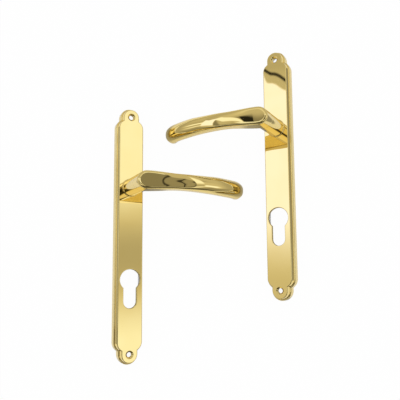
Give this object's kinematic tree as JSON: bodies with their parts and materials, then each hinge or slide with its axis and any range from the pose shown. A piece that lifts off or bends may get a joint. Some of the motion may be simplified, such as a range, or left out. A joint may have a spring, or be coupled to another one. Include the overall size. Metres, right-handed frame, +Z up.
{
  "type": "lever door handle set",
  "caption": "Pair of mirrored lever door handles on long narrow backplates with rounded lobed ends, a lock cylinder cut-out and sprung levers that turn, in polished gold.",
  "frame": {"origin": "middle of the table area that the pair covers, on the table", "axes": "+Z up from the table; +Y up along both backplates, from the cylinder cut-outs to the levers; +X from the left half to the right half, so the levers point inward along X"},
  "size_m": [0.1712, 0.292, 0.0581],
  "materials": {
    "polished_gold_brass": "polished gold-coloured brass plating",
    "zinc_plated_steel": "bright zinc plating",
    "spring_steel": "oiled spring steel",
    "nylon": "natural nylon"
  },
  "bodies": {
    "left_plate": {"left_backplate": "polished_gold_brass", "left_neck_bush": "nylon", "left_return_spring": "spring_steel", "left_cover_plate": "zinc_plated_steel", "left_upper_cover_screw": "zinc_plated_steel", "left_lower_cover_screw": "zinc_plated_steel"},
    "left_handle": {"left_lever": "polished_gold_brass", "left_drive_cam": "zinc_plated_steel", "left_thrust_washer": "zinc_plated_steel", "left_circlip": "spring_steel"},
    "right_plate": {"right_backplate": "polished_gold_brass", "right_neck_bush": "nylon", "right_return_spring": "spring_steel", "right_cover_plate": "zinc_plated_steel", "right_upper_cover_screw": "zinc_plated_steel", "right_lower_cover_screw": "zinc_plated_steel"},
    "right_handle": {"right_lever": "polished_gold_brass", "right_drive_cam": "zinc_plated_steel", "right_thrust_washer": "zinc_plated_steel", "right_circlip": "spring_steel"}
  },
  "joints": [
    {"name": "right_half_lift", "type": "slide", "parent": "left_plate", "child": "right_plate", "axis": [0, 0, 1], "range_m": [0, 0.12]},
    {"name": "left_lever_turn", "type": "hinge", "parent": "left_plate", "child": "left_handle", "pos_m": [-0.0685, 0.01414, 0.01614], "axis": [0.4641, 0, 0.8858], "range_deg": [-32, 0], "stiffness_Nm_per_rad": 1.5, "deforming": ["left_return_spring"]},
    {"name": "right_lever_turn", "type": "hinge", "parent": "right_plate", "child": "right_handle", "pos_m": [0.068, 0.06889, 0.01614], "axis": [-0.4641, 0.004, 0.8858], "range_deg": [0, 32], "stiffness_Nm_per_rad": 1.5, "deforming": ["right_return_spring"]}
  ]
}
